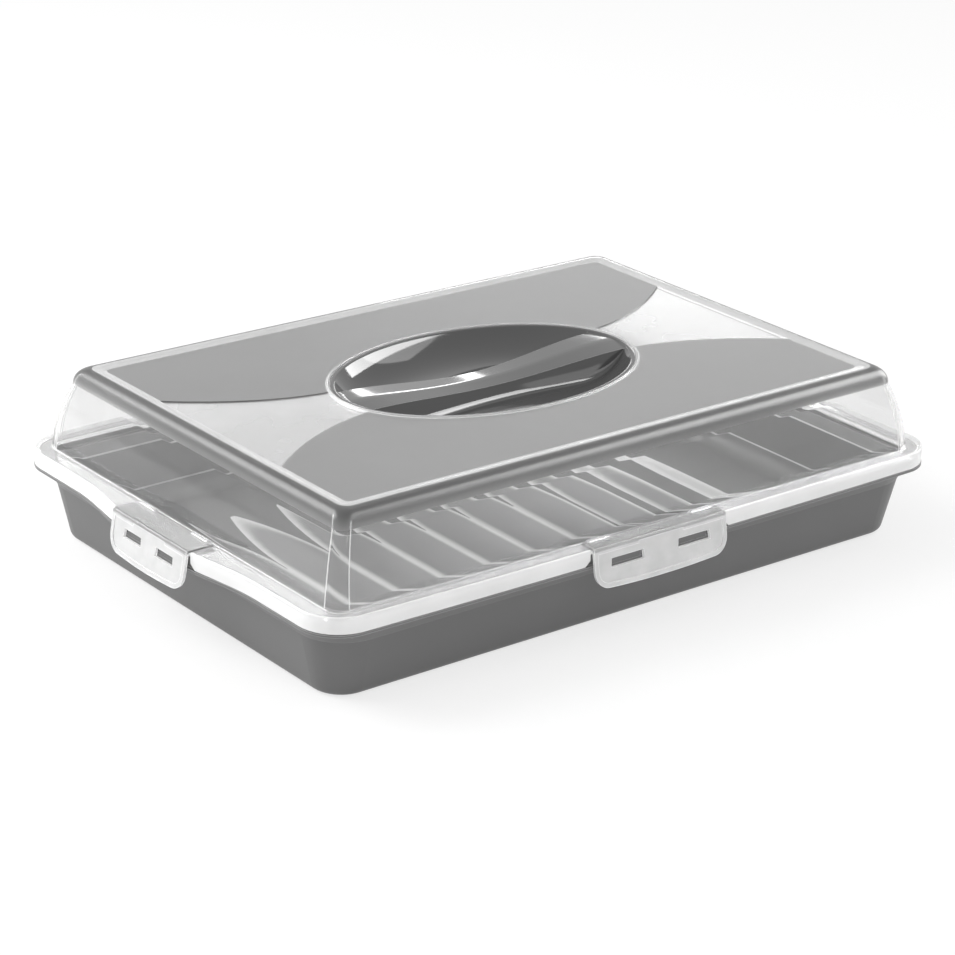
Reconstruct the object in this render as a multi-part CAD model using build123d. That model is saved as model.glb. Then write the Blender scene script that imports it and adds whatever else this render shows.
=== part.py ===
"""Rectangular cake container: tray, clear domed lid, oval handle insert and four lock clips.

Millimetres, +Z up. The origin is the centre of the tray's underside. X runs along the long side, Y across it.
"""
from build123d import *
import math
import os

# The tray, whose underside sets the size of everything else
foot_half_x = 205.4          # half length at the underside
foot_half_y = 138.5          # half width at the underside
foot_corner = 18.0
tray_wall = 2.2
tray_floor = 2.4
wall_top_z = 35.0            # where the tapered wall ends and the flare begins
wall_spread = 7.9            # how far the wall leans out by then
flare_height = 8.6
flare_spread = 5.5
foot_round = 5.0
well_round = 11.0            # radius between floor and wall, inside
well_flare_rise = 3.7        # the flare starts this much higher inside than outside
lip_thickness = 1.5

# The rim outline, shared by the tray's lip and the lid's flange and skirt
rim_spread = 16.4            # from the underside's outline out to the rim's
rim_corner = 23.8
long_side_bow = 2.4          # each long side is a shallow arc
clip_bay_bow = 7.2           # each short side swells out to carry its clip
bay_flat_inset = 15.0        # the swelling is full this far inside the clip's end
bay_curve_length = 68.0

# Ribs on the tray's floor
rib_pitch = 32.8
rib_gap = 0.6                # from rib to rib where they are widest
rib_curve_radius = 110.0
rib_front_inset = 20.0
rib_tip_inset = 45.0
rib_shoulder_y = [24.0, 21.0, 16.0, 10.0, 15.0, 14.0, 3.0, 0.0, 0.0, 0.0]
rib_trims = [0.0, 0.0, 0.0, 0.0, 0.0, 0.0, 0.0, 1.5, 5.0, 9.0]
rib_middle_x = 0.8           # the valley between the fifth and sixth rib

# The lid
flange_thickness = 1.8
rim_height = 8.5             # from the tray's lip up to the flange's top
rim_bead_height = 1.4        # raised edge round the flange
rim_bead_width = 3.0
skirt_gap = 0.2              # from the tray's lip up to the skirt
skirt_thickness = 1.8
flange_round = 0.9
lid_wall = 1.8
flange_width_x = 12.4        # from the dome's foot out to the rim
flange_width_y = 9.9
wall_foot_corner = 9.0
dome_height = 49.3           # from the flange's top up to the crest of the raised border
shoulder_height = 9.3        # from the soft crease above the wall up to the crest
wall_lean = 0.072            # straight part of the wall's lean, and its curve per mm
wall_curve = 0.00454
shoulder_run = 8.0           # how far the shoulder comes in from the crease to the crest
shoulder_corner = 6.5
border_top_width = 3.0
border_slope_run = 4.0       # width of the border's inner slope
plate_drop = 1.1             # from the crest down to the recessed plate
plate_thickness = 1.8
recess_corner = 4.0
fan_step = 0.8
fan_base_half = 59.5
fan_neck_half = 19.0
fan_pinch = 7.5              # how far each fan edge bows towards the middle

# The oval opening and the handle insert
oval_x = 101.2               # collar's outer half length
oval_y = 68.6
collar_width = 1.2
collar_rise = 1.0
ledge_width = 1.2
ledge_drop = 1.6             # from the plate down to the ledge that carries the insert
ledge_thickness = 1.8
seat_gap = 0.3
insert_rim_thickness = 1.8
insert_wall = 1.5
dish_depth = 15.0
ridge_end_half = 19.0
ridge_mid_half = 13.0
ridge_end_drop = 0.2         # below the plate at both ends
ridge_dip = 6.0
ridge_crown_half = 5.0
ridge_crown_drop = 3.5
ridge_bulge = 0.8
tongue_half = 14.5           # the insert's end tongues, which slip under the lid
tongue_thickness = 2.0
tongue_gap = 0.1
tongue_root = 6.0
tongue_reach = 7.3
hook_width = 12.0
hook_height = 2.4
hook_reach = 1.2

# The clips
clip_thickness = 1.8
clip_plate_gap = 0.6         # from the flange up to the clip's plate
clip_drop = 22.6             # from the flange's top down to the clip's lower edge
clip_bottom_sag = 1.8
clip_bottom_corner = 10.0
clip_lean = 0.16             # the face leans out by this share of its drop
border_width = 2.6
border_rise = 0.6
border_top_gap = 4.0
grip_notch_half = 16.0       # the border's lower edge steps up here, for a fingertip
grip_notch_rise = 1.6
bay_gap = 0.9                # from the clip's inner face to the flange's edge behind it
front_clip_half = 47.8
front_clip_overhang = 1.4    # how far the clip's plate reaches past the rim
front_clip_length = 9.4      # from the hinge to the plate's outer edge
front_tab = (13.7, 34.6)     # each lock tab's inner and outer end, from the clip's middle
front_lug_centre = 37.0
side_clip_half = 37.1
side_clip_overhang = 0.7
side_clip_length = 16.2
side_tab = (8.6, 23.4)
side_lug_centre = 26.5
tab_drop = 6.4               # from the flange's top down to the lock tabs
tab_height = 3.8
window_gap = 0.4             # round each tab, at the clip's inner face
window_flare = 1.4           # how much wider each window is at the clip's outer face, at each end
window_flare_z = 0.6
lug_length = 15.0
lug_wall = 1.1
lug_side_gap = 0.4
lug_slot_gap = 0.45
barrel_radius = 1.2
pin_radius = 0.9
pin_clearance = 0.07
tab_gap = 0.3
bay_clearance = 1.0          # from the clip's end to the cut in the skirt
bay_chamfer = 3.4

# Worked out from the sizes above
flare_top_z = wall_top_z + flare_height
lip_z = flare_top_z + lip_thickness
skirt_bottom_z = lip_z + skirt_gap
flange_top_z = lip_z + rim_height
crest_z = flange_top_z + dome_height
shoulder_z = crest_z - shoulder_height
plate_z = crest_z - plate_drop
ledge_z = plate_z - ledge_drop
clip_bottom_z = flange_top_z - clip_drop
tab_top_z = flange_top_z - tab_drop
tab_bottom_z = tab_top_z - tab_height
rim_half_x = foot_half_x + rim_spread
rim_half_y = foot_half_y + rim_spread
wall_foot_x = rim_half_x - flange_width_x
wall_foot_y = rim_half_y - flange_width_y
front_bow_y = rim_half_y + long_side_bow
side_bow_x = rim_half_x + clip_bay_bow
front_clip_face_y = front_bow_y + front_clip_overhang
side_clip_face_y = side_bow_x + side_clip_overhang
front_clip_axis_y = front_clip_face_y - front_clip_length
side_clip_axis_y = side_clip_face_y - side_clip_length
bay_flat_y = side_clip_half - bay_flat_inset
bay_start_y = bay_flat_y + bay_curve_length
flange_under_z = flange_top_z - flange_thickness
rim_bead_top_z = flange_top_z + rim_bead_height
upstand_inset = skirt_thickness + 0.4
upstand_top_z = flange_under_z - seat_gap
plate_under_z = plate_z - plate_thickness
shoulder_drop = wall_lean * (shoulder_z - flange_top_z) + wall_curve * (shoulder_z - flange_top_z) ** 2
crest_inset = shoulder_drop + shoulder_run + border_top_width
plate_inset = crest_inset + border_slope_run
clip_plate_z = flange_top_z + clip_plate_gap
clip_top_z = clip_plate_z + clip_thickness
axis_z = clip_plate_z + clip_thickness / 2
lug_radius = pin_radius + pin_clearance + lug_wall
collar_top_z = plate_z + collar_rise
rebate_x = oval_x - collar_width
rebate_y = oval_y - collar_width
opening_x = rebate_x - ledge_width
opening_y = rebate_y - ledge_width
dish_floor_z = plate_z - dish_depth
ridge_end_z = plate_z - ridge_end_drop
tongue_top_z = ledge_z - ledge_thickness - tongue_gap


def rounded(half_x, half_y, corner, z):
    """A rounded rectangle at height z."""
    return Pos(0, 0, z) * RectangleRounded(2 * half_x, 2 * half_y, corner)


def oval(half_x, half_y, z):
    """An ellipse at height z."""
    return Pos(0, 0, z) * Ellipse(half_x, half_y)


def block(low, high):
    """A box between two corners."""
    size = [b - a for a, b in zip(low, high)]
    middle = [(a + b) / 2 for a, b in zip(low, high)]
    return Pos(*middle) * Box(*size)


def rim_outline(inset, z):
    """The rim's outline, drawn inward by inset: bowed long sides, and short sides that swell at the clips."""
    bay_x = rim_half_x + clip_bay_bow
    mid_x = rim_half_x + clip_bay_bow / 2
    mid_y = (bay_start_y + bay_flat_y) / 2
    front = ThreePointArc((-rim_half_x, -rim_half_y), (0, -rim_half_y - long_side_bow), (rim_half_x, -rim_half_y))
    back = ThreePointArc((rim_half_x, rim_half_y), (0, rim_half_y + long_side_bow), (-rim_half_x, rim_half_y))
    edges = [front, back]
    for side in (1, -1):
        for end in (1, -1):
            start = (side * rim_half_x, end * bay_start_y)
            middle = (side * mid_x, end * mid_y)
            edges.append(Line((side * rim_half_x, end * rim_half_y), start))
            edges.append(TangentArc(start, middle, tangent=(0, -end)))
            edges.append(TangentArc((side * bay_x, end * bay_flat_y), middle, tangent=(0, end)))
        edges.append(Line((side * bay_x, -bay_flat_y), (side * bay_x, bay_flat_y)))
    face = make_face(edges)
    corners = [v for v in face.vertices() if abs(abs(v.Y) - rim_half_y) < 0.01]
    face = fillet(corners, rim_corner)
    if inset:
        face = offset(face, amount=-inset)
    return Pos(0, 0, z) * face


def rim_ring(outer_inset, inner_inset, low_z, high_z):
    """An upright band that follows the rim's outline."""
    outer = extrude(rim_outline(outer_inset, low_z), amount=high_z - low_z)
    return outer - extrude(rim_outline(inner_inset, low_z), amount=high_z - low_z)


def for_each_clip(front_piece, side_piece):
    """The front piece and its turned copy, then the side piece turned to the left and to the right."""
    return {"front": front_piece, "back": Rot(0, 0, 180) * front_piece,
            "left": Rot(0, 0, -90) * side_piece, "right": Rot(0, 0, 90) * side_piece}


def clip_inner_y(face_y, z):
    """How far out the clip's inner face is at height z."""
    return face_y - clip_thickness * math.hypot(1, clip_lean) + clip_lean * (clip_top_z - z)


def lock_tabs(tab, face_y, root_y):
    """Two tabs on the tray's rim, behind the windows of a front clip."""
    reach = clip_inner_y(face_y, tab_top_z) - tab_gap
    right = block((tab[0], -reach, tab_bottom_z), (tab[1], -root_y, tab_top_z))
    return right + mirror(right, about=Plane.YZ)


def floor_ribs():
    """Low rounded ribs that run front to back and end in pointed tips."""
    ribs = []
    front_y = rib_front_inset - foot_half_y
    tip_y = foot_half_y - rib_tip_inset
    first_x = rib_middle_x - rib_pitch * (len(rib_trims) - 1) / 2
    for number, trim in enumerate(rib_trims):
        widest = (rib_pitch - rib_gap) / 2 - trim
        shoulder_y = rib_shoulder_y[number]
        stations = [(front_y, 1.0), (shoulder_y, 1.0), ((shoulder_y + tip_y) / 2, 0.72), (tip_y, 0.12)]
        sections = []
        for y, share in stations:
            half = widest * share
            rise = rib_curve_radius - math.sqrt(rib_curve_radius ** 2 - half ** 2)
            chord = Line((-half, 0), (half, 0))
            crown = ThreePointArc((half, 0), (0, rise), (-half, 0))
            plane = Plane(origin=(first_x + number * rib_pitch, y, tray_floor), x_dir=(1, 0, 0), z_dir=(0, -1, 0))
            sections.append(plane * make_face([chord, crown]))
        ribs.append(loft(sections[:2], ruled=True) + loft(sections[1:]))
    return ribs


def tapered(half_x, half_y, corner, z, height, spread):
    """A block whose walls lean out by spread over its height."""
    taper = -math.degrees(math.atan(spread / height))
    return extrude(rounded(half_x, half_y, corner, z), amount=height, taper=taper)


def make_tray():
    lean = wall_spread / wall_top_z
    outside = tapered(foot_half_x, foot_half_y, foot_corner, 0, wall_top_z, wall_spread)
    outside = fillet(outside.faces().sort_by(Axis.Z)[0].edges(), foot_round)
    outside += tapered(foot_half_x + wall_spread, foot_half_y + wall_spread, foot_corner + wall_spread, wall_top_z,
                       flare_top_z - wall_top_z, flare_spread)
    outside += extrude(rim_outline(0, flare_top_z), amount=lip_thickness)
    outside += extrude(rim_outline(upstand_inset, lip_z), amount=upstand_top_z - lip_z)
    well_top_z = wall_top_z + well_flare_rise
    well_spread = lean * (well_top_z - tray_floor)
    well_x = foot_half_x - tray_wall + lean * tray_floor
    well_y = foot_half_y - tray_wall + lean * tray_floor
    well_corner = foot_corner - tray_wall
    well = tapered(well_x, well_y, well_corner, tray_floor, well_top_z - tray_floor, well_spread)
    well = fillet(well.faces().sort_by(Axis.Z)[0].edges(), well_round)
    outer_flare = flare_spread * (lip_z - wall_top_z) / (flare_top_z - wall_top_z)
    inner_flare = outer_flare - lean * well_flare_rise - 2.0
    well += tapered(well_x + well_spread, well_y + well_spread, well_corner + well_spread, well_top_z,
                    lip_z - well_top_z, inner_flare)
    well += extrude(rim_outline(upstand_inset + tray_wall, lip_z), amount=upstand_top_z - lip_z)
    tray = outside - well
    for rib in floor_ribs():
        tray += rib
    tabs = for_each_clip(lock_tabs(front_tab, front_clip_face_y, front_bow_y - skirt_thickness - 1),
                         lock_tabs(side_tab, side_clip_face_y, side_bow_x - skirt_thickness - 1))
    for tab in tabs.values():
        tray += tab
    return tray


def dome_sections(inset, drop):
    """Sections of the dome from the flange up to the crest, moved in by inset and down by drop."""
    lower = []
    for step in range(5):
        rise = (shoulder_z - flange_top_z) * step / 4
        lean = wall_lean * rise + wall_curve * rise ** 2
        corner = wall_foot_corner + (shoulder_corner - wall_foot_corner) * step / 4
        lower.append(rounded(wall_foot_x - lean - inset, wall_foot_y - lean - inset, corner - inset / 2,
                             flange_top_z + rise))
    upper = []
    for step in range(4):
        angle = math.radians(90 * step / 3)
        run = shoulder_drop + shoulder_run * (1 - math.cos(angle)) + inset
        rise = (crest_z - drop - shoulder_z) * math.sin(angle)
        upper.append(rounded(wall_foot_x - run, wall_foot_y - run, shoulder_corner - inset / 2, shoulder_z + rise))
    return lower, upper


def dome(inset, drop):
    lower, upper = dome_sections(inset, drop)
    return loft(lower) + loft(upper, ruled=True)


def fan_outline(grow, z):
    """Both fan-shaped panels, from the border to the oval."""
    base_x = wall_foot_x - plate_inset + 1
    neck_x = oval_x - collar_width
    faces = []
    for side in (1, -1):
        start = (side * base_x, fan_base_half + grow)
        end = (side * neck_x, fan_neck_half + grow)
        middle = ((start[0] + end[0]) / 2, (start[1] + end[1]) / 2 - fan_pinch)
        upper = ThreePointArc(start, middle, end)
        lower = ThreePointArc((start[0], -start[1]), (middle[0], -middle[1]), (end[0], -end[1]))
        sides = [Line(start, (start[0], -start[1])), Line(end, (end[0], -end[1]))]
        faces.append(Pos(0, 0, z) * make_face([upper, lower] + sides))
    return faces


def recess(bottom_z, grow, top_z):
    """The recess in the lid's top inside its raised border, or the space for the plate under it."""
    edge = wall_foot_x - plate_inset + grow
    edge_y = wall_foot_y - plate_inset + grow
    rise = top_z - bottom_z
    run = border_slope_run * rise / (crest_z - plate_z)
    corner = recess_corner + grow
    low = rounded(edge, edge_y, corner, bottom_z)
    high = rounded(edge + run, edge_y + run, corner + run, top_z)
    return loft([low, high], ruled=True)


def hinge_lugs(lug_centre, axis_y):
    """Two eyes on the flange that hold a front clip's pins."""
    lugs = []
    for side in (1, -1):
        low_x = side * lug_centre - lug_length / 2
        high_x = side * lug_centre + lug_length / 2
        eye = Pos(side * lug_centre, -axis_y, axis_z) * Rot(0, 90, 0) * Cylinder(lug_radius, lug_length)
        base = block((low_x, -axis_y - lug_radius, flange_top_z - 0.2), (high_x, -axis_y + lug_radius, axis_z))
        hole = Pos(side * lug_centre, -axis_y, axis_z) * Rot(0, 90, 0) * Cylinder(pin_radius + pin_clearance,
                                                                               lug_length + 1)
        lugs.append((eye + base, hole))
    return lugs


def skirt_bay(clip_half, face_y):
    """The gap in the skirt and the flange's edge at a front clip, with its lower corners cut off."""
    half = clip_half + bay_clearance
    top = rim_bead_top_z + 1
    shape = Polyline((-half, top), (-half, skirt_bottom_z + bay_chamfer), (-half - bay_chamfer, skirt_bottom_z - 1),
                     (half + bay_chamfer, skirt_bottom_z - 1), (half, skirt_bottom_z + bay_chamfer), (half, top),
                     (-half, top))
    plane = Plane(origin=(0, -face_y - 10, 0), x_dir=(1, 0, 0), z_dir=(0, -1, 0))
    edge_y = face_y - clip_thickness - bay_gap
    through = extrude(plane * make_face(shape), amount=-(face_y + 10 - edge_y))
    deep = extrude(plane * make_face(shape), amount=-25)
    flange_slab = block((-half - 10, -face_y - 12, flange_under_z), (half + 10, -face_y + 20, flange_top_z))
    return through + (deep - flange_slab)


def make_lid():
    flange = extrude(rim_outline(0, flange_under_z), amount=flange_thickness)
    flange += rim_ring(0, rim_bead_width, flange_top_z, rim_bead_top_z)
    flange = fillet(flange.faces().sort_by(Axis.Z)[-1].edges(), flange_round)
    skirt = rim_ring(0, skirt_thickness, skirt_bottom_z, flange_under_z)
    bays = for_each_clip(skirt_bay(front_clip_half, front_clip_face_y), skirt_bay(side_clip_half, side_clip_face_y))
    rim = flange + skirt
    for bay in bays.values():
        rim -= bay
    shell = dome(0, 0) - recess(plate_z, 0, crest_z + 0.5)
    for fan in fan_outline(0, plate_z - fan_step):
        shell -= extrude(fan, amount=fan_step + 1)
    hollow = dome(lid_wall, plate_thickness)
    hollow += extrude(rounded(wall_foot_x - lid_wall, wall_foot_y - lid_wall, wall_foot_corner - lid_wall / 2,
                              flange_under_z - 1), amount=flange_thickness + 1)
    hollow -= recess(plate_under_z, plate_thickness / 2, crest_z + 0.5)
    for fan in fan_outline(plate_thickness / 2, plate_under_z - fan_step):
        hollow -= extrude(fan, amount=fan_step + 1)
    hollow -= extrude(oval(oval_x, oval_y, ledge_z - ledge_thickness), amount=crest_z)
    lid = shell + rim
    lid += extrude(oval(oval_x, oval_y, ledge_z - ledge_thickness), amount=collar_top_z - ledge_z + ledge_thickness)
    lid -= hollow
    lid -= extrude(oval(rebate_x, rebate_y, ledge_z), amount=crest_z)
    lid -= extrude(oval(opening_x, opening_y, flange_top_z), amount=crest_z)
    for lug_centre, axis_y, turns in ((front_lug_centre, front_clip_axis_y, (0, 180)),
                                      (side_lug_centre, side_clip_axis_y, (-90, 90))):
        for turn in turns:
            for lug, hole in hinge_lugs(lug_centre, axis_y):
                lid += Rot(0, 0, turn) * lug
                lid -= Rot(0, 0, turn) * hole
    return lid


def bowl(inset, floor_z, top_z):
    """The dish's round bowl, drawn inward by inset."""
    stations = [(0.0, 0.0), (0.3, 0.02), (0.6, 0.07), (0.85, 0.17), (0.97, 0.32), (1.0, 0.5)]
    sections = []
    for fall, narrow in stations:
        z = ledge_z - (ledge_z - floor_z) * fall
        sections.append(oval((opening_x - seat_gap) * (1 - narrow) - inset,
                             (opening_y - seat_gap) * (1 - narrow * 1.2) - inset, z))
    body = loft(sections)
    if top_z > ledge_z:
        body += extrude(sections[0], amount=top_z - ledge_z)
    return body


def ridge(inset, base_z):
    """The gripping ridge: level with the top at its ends, lower and narrower in the middle."""
    sections = []
    for share in (-1, -0.5, 0, 0.5, 1):
        blend = math.cos(math.pi * share / 2) ** 2
        half = ridge_end_half + (ridge_mid_half - ridge_end_half) * blend - inset
        top = ridge_end_z - ridge_dip * blend - inset
        crown = ridge_crown_half - inset / 2
        side_z = top - ridge_crown_drop
        points = [(-half, base_z), (-half, side_z), (-crown, top), (crown, top), (half, side_z), (half, base_z)]
        edges = [Line(points[0], points[1]), Line(points[2], points[3]), Line(points[4], points[5]),
                 Line(points[5], points[0])]
        for a, b in ((points[1], points[2]), (points[4], points[3])):
            middle = ((a[0] + b[0]) / 2 + math.copysign(ridge_bulge, a[0]), (a[1] + b[1]) / 2 + ridge_bulge)
            edges.append(ThreePointArc(a, middle, b))
        plane = Plane(origin=(share * opening_x, 0, 0), x_dir=(0, 1, 0), z_dir=(1, 0, 0))
        sections.append(plane * make_face(edges))
    return loft(sections)


def make_handle_insert():
    rim_top = ledge_z + insert_rim_thickness
    outside = bowl(0, dish_floor_z - insert_wall, ledge_z)
    inside = bowl(insert_wall, dish_floor_z, rim_top + 1)
    insert = outside + extrude(oval(rebate_x - seat_gap, rebate_y - seat_gap, ledge_z), amount=insert_rim_thickness)
    insert -= inside
    grip = ridge(0, dish_floor_z - insert_wall) & bowl(insert_wall / 2, dish_floor_z - insert_wall, rim_top + 1)
    insert += grip
    insert -= ridge(insert_wall, dish_floor_z - insert_wall - 1) & bowl(insert_wall, dish_floor_z - 1, ledge_z)
    for turn in (0, 180):
        tongue = block((opening_x - tongue_root, -tongue_half, tongue_top_z - tongue_thickness),
                       (opening_x + tongue_reach, tongue_half, tongue_top_z))
        insert += Rot(0, 0, turn) * tongue
    for turn in (90, -90):
        hook = block((opening_y - 5, -hook_width / 2, tongue_top_z - hook_height),
                     (opening_y + hook_reach, hook_width / 2, tongue_top_z))
        insert += Rot(0, 0, turn) * hook
    return insert


def window(side, tab, face_y):
    """A clip's window round one lock tab, wider at the outer face than at the inner one."""
    low_x, high_x = sorted((side * (tab[0] - window_gap), side * (tab[1] + window_gap)))
    low_z = tab_bottom_z - window_gap
    high_z = tab_top_z + window_gap
    inner_y = -clip_inner_y(face_y, high_z)
    outer_y = -clip_inner_y(face_y, low_z) - clip_thickness
    sections = []
    for y, grow_x, grow_z in ((inner_y, 0, 0), (outer_y, window_flare, window_flare_z)):
        plane = Plane(origin=((low_x + high_x) / 2, y, (low_z + high_z) / 2), x_dir=(1, 0, 0), z_dir=(0, -1, 0))
        sections.append(plane * Rectangle(high_x - low_x + 2 * grow_x, high_z - low_z + 2 * grow_z))
    straight = block((low_x, inner_y - 0.5, low_z), (high_x, inner_y + 5, high_z))
    wide = extrude(sections[1], amount=4)
    return loft(sections, ruled=True) + straight + wide


def make_clip(half, face_y, axis_y, tab, lug_centre):
    """A lock clip drawn in the front clip's place: a plate on the flange and a face that hangs outside the rim."""
    side_plane = Plane(origin=(-half, 0, 0), x_dir=(0, 1, 0), z_dir=(1, 0, 0))
    bottom_z = clip_bottom_z - 1
    out = clip_lean * (clip_top_z - bottom_z)
    slant = clip_thickness * math.hypot(1, clip_lean)
    profile = Polyline((-axis_y, clip_plate_z), (-axis_y, clip_top_z), (-face_y, clip_top_z), (-face_y - out, bottom_z),
                       (-face_y - out + slant, bottom_z),
                       (-face_y + slant - clip_lean * clip_thickness, clip_plate_z), (-axis_y, clip_plate_z))
    body = extrude(side_plane * make_face(profile), amount=2 * half)
    outer_edges = [e for e in body.edges().filter_by(Axis.X) if e.center().Z > clip_top_z - 0.1
                   and e.center().Y < -face_y + 0.1]
    body = fillet(outer_edges, clip_thickness * 0.8)
    corner_z = clip_bottom_z + clip_bottom_sag
    outline = make_face([
        Line((-half, clip_top_z + 1), (half, clip_top_z + 1)), Line((half, clip_top_z + 1), (half, corner_z)),
        ThreePointArc((half, corner_z), (0, clip_bottom_z), (-half, corner_z)),
        Line((-half, corner_z), (-half, clip_top_z + 1))])
    low = [v for v in outline.vertices() if v.Y < corner_z + 0.1]
    outline = fillet(low, clip_bottom_corner)
    front_plane = Plane(origin=(0, -face_y - 10, 0), x_dir=(1, 0, 0), z_dir=(0, -1, 0))
    body &= extrude(front_plane * outline, amount=-face_y)
    for side in (1, -1):
        body -= window(side, tab, face_y)
    panel = offset(outline, amount=-border_width)
    deep = extrude(front_plane * panel, amount=-face_y)
    for reach, gap in ((half, border_top_gap), (grip_notch_half, border_top_gap - grip_notch_rise)):
        top = clip_top_z - gap
        top_y = -face_y - clip_lean * gap
        slab = make_face(Polyline((top_y - 3, top), (top_y + border_rise, top), (-face_y - out + border_rise, bottom_z),
                                  (-face_y - out - 3, bottom_z), (top_y - 3, top)))
        skin = Plane(origin=(-reach, 0, 0), x_dir=(0, 1, 0), z_dir=(1, 0, 0))
        body -= extrude(skin * slab, amount=2 * reach) & deep
    barrel = Pos(0, -axis_y, axis_z) * Rot(0, 90, 0) * Cylinder(barrel_radius, 2 * half)
    body += barrel
    reach = lug_radius + lug_slot_gap
    for side in (1, -1):
        low_x = side * lug_centre - lug_length / 2 - lug_side_gap
        high_x = side * lug_centre + lug_length / 2 + lug_side_gap
        body -= block((low_x, -axis_y - reach, axis_z - 3), (high_x, -axis_y + reach, axis_z + 3))
        body += Pos(side * lug_centre, -axis_y, axis_z) * Rot(0, 90, 0) * Cylinder(
            pin_radius, lug_length + 2 * lug_side_gap + 1)
    return body


def main():
    os.makedirs("parts", exist_ok=True)
    front_clip = make_clip(front_clip_half, front_clip_face_y, front_clip_axis_y, front_tab, front_lug_centre)
    side_clip = make_clip(side_clip_half, side_clip_face_y, side_clip_axis_y, side_tab, side_lug_centre)
    parts = {"tray": make_tray(), "lid": make_lid(), "handle_insert": make_handle_insert()}
    for place, clip in for_each_clip(front_clip, side_clip).items():
        parts["clip_" + place] = clip
    for name, shape in parts.items():
        export_step(shape, "parts/" + name + ".step")
        print(name, "volume %.1f cm3" % (shape.volume / 1000), "solids", len(shape.solids()))


main()
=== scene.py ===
"""Rectangular cake container: clear lid, handle insert, finishes for the tray and the clips, and a studio."""
import math

import bmesh
import bpy
from mathutils import Matrix, Vector


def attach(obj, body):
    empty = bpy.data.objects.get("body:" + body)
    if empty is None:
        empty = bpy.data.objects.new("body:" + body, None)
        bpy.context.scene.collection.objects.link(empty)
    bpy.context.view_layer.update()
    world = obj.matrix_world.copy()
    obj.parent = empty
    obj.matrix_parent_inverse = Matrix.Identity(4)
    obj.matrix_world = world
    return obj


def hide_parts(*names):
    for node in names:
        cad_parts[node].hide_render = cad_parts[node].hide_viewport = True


bl_info = {
    "name": "Rectangular cake container",
    "version": (1, 0, 0),
    "blender": (4, 5, 0),
    "location": "View3D > Sidebar > Cake container",
    "description": "Finishes a clear lidded cake container and sets it in a plain studio",
    "category": "Object",
}

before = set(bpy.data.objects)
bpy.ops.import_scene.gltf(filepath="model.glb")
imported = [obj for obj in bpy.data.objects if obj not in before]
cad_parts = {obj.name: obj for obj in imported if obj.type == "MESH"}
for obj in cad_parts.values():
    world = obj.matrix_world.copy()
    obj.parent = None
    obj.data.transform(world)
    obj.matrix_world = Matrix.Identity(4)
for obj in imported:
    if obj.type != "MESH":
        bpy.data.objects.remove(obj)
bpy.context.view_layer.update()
CLIPS = ("clip_front", "clip_back", "clip_left", "clip_right")
MM = 0.001
POLYPROPYLENE_IOR = 1.49
ABS_IOR = 1.53


def linear(hex_code):
    """An sRGB hex colour as linear red, green and blue."""
    parts = [int(hex_code[i:i + 2], 16) / 255 for i in (1, 3, 5)]
    return tuple(c / 12.92 if c <= 0.04045 else ((c + 0.055) / 1.055) ** 2.4 for c in parts)


def colour_prop(name, hex_code, description):
    """A colour that the user may change, given as sRGB hex."""
    return bpy.props.FloatVectorProperty(name=name, description=description, subtype="COLOR", size=3, min=0.0,
                                         max=1.0, default=linear(hex_code))


def length_prop(name, millimetres, description):
    """A length that the user may change, given in millimetres."""
    return bpy.props.FloatProperty(name=name, description=description, subtype="DISTANCE", unit="LENGTH",
                                   min=0.0, default=millimetres * MM)


def factor_prop(name, factor, description):
    """A plain number that the user may change."""
    return bpy.props.FloatProperty(name=name, description=description, min=0.0, default=factor)


class TrayLook(bpy.types.PropertyGroup):
    """Sizes and colours of the tray's finish."""
    colour: colour_prop("Tray", "#676767", "Body colour of the moulded tray")
    # Painted light: the ribs' crowns are painted lighter than the body, and their edges and the valleys paler
    # still, as painted highlight
    rib_crown_light_colour: colour_prop("Rib crowns", "#858585", "Colour of the floor's ribs at their crowns")
    valley_highlight_colour: colour_prop("Rib edges", "#DCDCDC", "Paler plastic at the ribs' edges and in the valleys")
    # Painted highlight lines along the tray's edges and where the wall bends, and their width
    edge_highlight_colour: colour_prop("Edges", "#CFCFCF", "Paler plastic along the tray's edges and the wall's bends")
    edge_highlight_width: length_prop("Edge line", 0.8, "Width of the paler line along the edges")
    floor_z: length_prop("Floor", 2.4, "Height of the tray's floor")
    rib_height: length_prop("Rib height", 1.6, "Height over the floor up to which the ribs reach")
    rib_edge: length_prop("Rib edge", 0.5, "Height over which a rib's edge fades into its crown")
    ribs_half_x: length_prop("Ribs half length", 190.0, "Half length of the floor that has ribs")
    ribs_half_y: length_prop("Ribs half width", 122.0, "Half width of the floor that has ribs")
    valley_x: length_prop("Middle valley", 0.8, "Distance of the middle valley from the centre")
    valley_pitch: length_prop("Valley pitch", 32.8, "Distance from valley to valley")
    valley_half: length_prop("Valley half width", 0.8, "Half width of each narrow valley")
    valley_end: length_prop("Last narrow valley", 50.0, "Right of this the gaps between ribs show the floor")
    valley_back: length_prop("Valleys' back end", 12.0, "Distance behind the centre at which the valleys end")
    # Painted highlight lines where the wall bends, at the rounding and the brim given below
    bend_highlight_half: length_prop("Bend line", 0.45, "Half width of the pale lines where the wall bends")
    rounding: length_prop("Rounding", 11.0, "Height of the rounding between floor and wall")
    rounding_x: length_prop("Rounding's half length", 206.8, "Half length of the well at that height")
    rounding_y: length_prop("Rounding's half width", 139.9, "Half width of the well at that height")
    rounding_corner: length_prop("Rounding's corner", 335.1, "Sum of X and Y distance at which its line ends")
    brim: length_prop("Brim", 36.3, "Height above the floor at which the wall flares out")
    brim_x: length_prop("Brim's half length", 212.9, "Half length of the well at that height")
    brim_y: length_prop("Brim's half width", 146.1, "Half width of the well at that height")
    brim_corner: length_prop("Brim's corner", 345.0, "Sum of X and Y distance at which its line ends")
    grain: length_prop("Grain", 0.7, "Spacing of the moulding grain, drawn coarse enough to show")


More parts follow.
